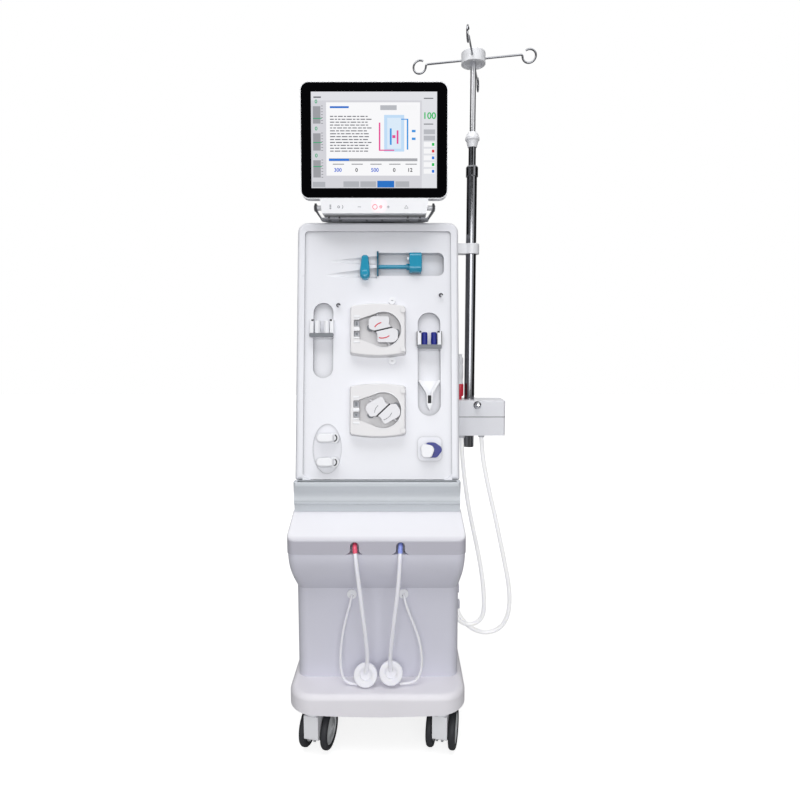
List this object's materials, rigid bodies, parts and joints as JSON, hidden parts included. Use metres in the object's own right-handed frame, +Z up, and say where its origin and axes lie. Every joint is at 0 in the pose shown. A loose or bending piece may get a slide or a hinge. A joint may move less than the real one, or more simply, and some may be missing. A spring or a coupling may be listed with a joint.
{
  "type": "dialysis machine",
  "caption": "Floor-standing haemodialysis machine on casters, with two roller pumps, a syringe pump, tilting touch screen, drip tray, hoses and an infusion pole with bag hooks.",
  "frame": {"origin": "middle of the whole object's footprint box, on the floor", "axes": "+Z up, -Y towards the front panel, +X to the machine's right as seen from the front"},
  "size_m": [0.6237, 0.4934, 1.767],
  "materials": {
    "panel_white": "satin",
    "shell_grey": "satin",
    "base_white": "satin",
    "steel_frame": "satin",
    "chrome": "polished",
    "white_plastic": "satin",
    "grey_plastic": "satin",
    "blue_plastic": "satin",
    "teal_plastic": "satin",
    "black_glass": "polished",
    "clear_tube": "satin",
    "tyre": "matte"
  },
  "bodies": {
    "cabinet": {"base_cover": "base_white", "chassis_frame": "steel_frame", "lower_shell": "shell_grey", "ledge_hood": "shell_grey", "drip_tray": "shell_grey", "front_panel": "panel_white", "upper_casing": "panel_white", "rear_panel": "panel_white", "hydraulic_unit": "grey_plastic", "rear_ports": "grey_plastic", "pole_tube": "chrome", "pole_bracket": "white_plastic", "side_box": "panel_white", "side_coupling": "white_plastic", "pump_1_housing": "white_plastic", "pump_2_housing": "white_plastic", "port_discs": "white_plastic", "syringe_plate": "teal_plastic", "clip_frames": "white_plastic", "chamber_funnel": "white_plastic", "panel_hooks": "chrome", "red_hose": "clear_tube", "blue_hose": "clear_tube", "left_rinse_hose": "clear_tube", "right_rinse_hose": "clear_tube", "inner_dialysate_hose": "clear_tube", "outer_dialysate_hose": "clear_tube", "left_cap": "white_plastic", "right_cap": "white_plastic"},
    "yoke": {"monitor_yoke": "grey_plastic"},
    "monitor": {"monitor_shell": "panel_white", "screen_glass": "black_glass", "keypad_bar": "panel_white"},
    "mast": {"pole_mast": "chrome"},
    "hooks": {"hook_hub": "white_plastic", "bag_hooks": "chrome"},
    "clamp_knob": {"pole_knob": "white_plastic"},
    "rotor_1": {"pump_1_rotor": "white_plastic", "pump_1_rollers": "grey_plastic"},
    "rotor_2": {"pump_2_rotor": "white_plastic", "pump_2_rollers": "grey_plastic"},
    "barrel_clamp": {"syringe_clamp": "teal_plastic"},
    "pusher": {"syringe_pusher": "teal_plastic"},
    "white_left": {"white_jaw_left": "white_plastic"},
    "white_right": {"white_jaw_right": "white_plastic"},
    "blue_left": {"blue_jaw_left": "blue_plastic"},
    "blue_right": {"blue_jaw_right": "blue_plastic"},
    "lever_upper": {"port_lever_upper": "white_plastic"},
    "lever_lower": {"port_lever_lower": "white_plastic"},
    "line_lever": {"line_clamp_lever": "white_plastic"},
    "line_jaw": {"line_clamp_jaw": "blue_plastic"},
    "box_knob": {"side_knob": "chrome"},
    "fork_front_left": {"caster_fork_front_left": "white_plastic"},
    "wheels_front_left": {"caster_wheels_front_left": "tyre"},
    "fork_front_right": {"caster_fork_front_right": "white_plastic"},
    "wheels_front_right": {"caster_wheels_front_right": "tyre"},
    "fork_rear_left": {"caster_fork_rear_left": "white_plastic"},
    "wheels_rear_left": {"caster_wheels_rear_left": "tyre"},
    "fork_rear_right": {"caster_fork_rear_right": "white_plastic"},
    "wheels_rear_right": {"caster_wheels_rear_right": "tyre"}
  },
  "joints": [
    {"name": "monitor_swivel", "type": "hinge", "parent": "cabinet", "child": "yoke", "pos_m": [-0.102, 0, 1.318], "axis": [0, 0, 1], "range_deg": [-30, 30]},
    {"name": "monitor_tilt", "type": "hinge", "parent": "yoke", "child": "monitor", "pos_m": [-0.102, -0.07, 1.344], "axis": [1, 0, 0], "range_deg": [-15, 8]},
    {"name": "pole_slide", "type": "slide", "parent": "cabinet", "child": "mast", "axis": [0, 0, 1], "range_m": [-0.15, 0.2]},
    {"name": "hook_hub_turn", "type": "hinge", "parent": "mast", "child": "hooks", "pos_m": [0.153, 0.057, 1.75], "axis": [0, 0, 1], "continuous": true},
    {"name": "pole_knob_turn", "type": "hinge", "parent": "cabinet", "child": "clamp_knob", "pos_m": [0.153, 0.057, 1.548], "axis": [0, 0, 1], "range_deg": [-120, 120]},
    {"name": "pump_1_spin", "type": "hinge", "parent": "cabinet", "child": "rotor_1", "pos_m": [-0.0805, -0.08893, 1.04193], "axis": [0, -0.9863, 0.165], "continuous": true},
    {"name": "pump_2_spin", "type": "hinge", "parent": "cabinet", "child": "rotor_2", "pos_m": [-0.0805, -0.12183, 0.84536], "axis": [0, -0.9863, 0.165], "continuous": true},
    {"name": "syringe_clamp_turn", "type": "hinge", "parent": "cabinet", "child": "barrel_clamp", "pos_m": [-0.127, -0.06517, 1.18395], "axis": [0, -0.9863, 0.165], "range_deg": [0, 90]},
    {"name": "syringe_push", "type": "slide", "parent": "cabinet", "child": "pusher", "axis": [1, 0, 0], "range_m": [-0.065, 0.035]},
    {"name": "white_jaw_left_open", "type": "hinge", "parent": "cabinet", "child": "white_left", "pos_m": [-0.249, -0.08564, 1.04949], "axis": [0, 0.165, 0.9863], "range_deg": [-10, 0], "stiffness_Nm_per_rad": 0.2},
    {"name": "white_jaw_right_open", "type": "hinge", "parent": "cabinet", "child": "white_right", "pos_m": [-0.218, -0.08564, 1.04949], "axis": [0, 0.165, 0.9863], "range_deg": [0, 10], "stiffness_Nm_per_rad": 0.2},
    {"name": "blue_jaw_left_open", "type": "hinge", "parent": "cabinet", "child": "blue_left", "pos_m": [0.018, -0.09043, 1.02088], "axis": [0, 0.165, 0.9863], "range_deg": [-10, 0], "stiffness_Nm_per_rad": 0.2},
    {"name": "blue_jaw_right_open", "type": "hinge", "parent": "cabinet", "child": "blue_right", "pos_m": [0.049, -0.09043, 1.02088], "axis": [0, 0.165, 0.9863], "range_deg": [0, 10], "stiffness_Nm_per_rad": 0.2},
    {"name": "port_lever_upper_turn", "type": "hinge", "parent": "cabinet", "child": "lever_upper", "pos_m": [-0.202, -0.13303, 0.77839], "axis": [0, -0.9863, 0.165], "range_deg": [-22, 22]},
    {"name": "port_lever_lower_turn", "type": "hinge", "parent": "cabinet", "child": "lever_lower", "pos_m": [-0.202, -0.14277, 0.7202], "axis": [0, -0.9863, 0.165], "range_deg": [-22, 22]},
    {"name": "line_lever_turn", "type": "hinge", "parent": "cabinet", "child": "line_lever", "pos_m": [0.029, -0.1557, 0.75197], "axis": [0, -0.9863, 0.165], "range_deg": [0, 90]},
    {"name": "line_jaw_slide", "type": "slide", "parent": "cabinet", "child": "line_jaw", "axis": [1, 0, 0], "range_m": [-0.006, 0]},
    {"name": "side_knob_turn", "type": "hinge", "parent": "cabinet", "child": "box_knob", "pos_m": [0.171, 0.017, 0.843], "axis": [0, -1, 0], "range_deg": [-135, 135]},
    {"name": "swivel_front_left", "type": "hinge", "parent": "cabinet", "child": "fork_front_left", "pos_m": [-0.251, -0.21, 0.115], "axis": [0, 0, 1], "continuous": true},
    {"name": "roll_front_left", "type": "hinge", "parent": "fork_front_left", "child": "wheels_front_left", "pos_m": [-0.24414, -0.17772, 0.05], "axis": [0.9781, -0.2079, 0], "continuous": true},
    {"name": "swivel_front_right", "type": "hinge", "parent": "cabinet", "child": "fork_front_right", "pos_m": [0.061, -0.21, 0.115], "axis": [0, 0, 1], "continuous": true},
    {"name": "roll_front_right", "type": "hinge", "parent": "fork_front_right", "child": "wheels_front_right", "pos_m": [0.06786, -0.17772, 0.05], "axis": [0.9781, -0.2079, 0], "continuous": true},
    {"name": "swivel_rear_left", "type": "hinge", "parent": "cabinet", "child": "fork_rear_left", "pos_m": [-0.251, 0.15, 0.115], "axis": [0, 0, 1], "continuous": true},
    {"name": "roll_rear_left", "type": "hinge", "parent": "fork_rear_left", "child": "wheels_rear_left", "pos_m": [-0.24414, 0.18228, 0.05], "axis": [0.9781, -0.2079, 0], "continuous": true},
    {"name": "swivel_rear_right", "type": "hinge", "parent": "cabinet", "child": "fork_rear_right", "pos_m": [0.061, 0.15, 0.115], "axis": [0, 0, 1], "continuous": true},
    {"name": "roll_rear_right", "type": "hinge", "parent": "fork_rear_right", "child": "wheels_rear_right", "pos_m": [0.06786, 0.18228, 0.05], "axis": [0.9781, -0.2079, 0], "continuous": true}
  ],
  "couplings": [
    {"joint": "line_jaw_slide", "follows": "line_lever_turn", "m_per_rad": -0.0038}
  ]
}
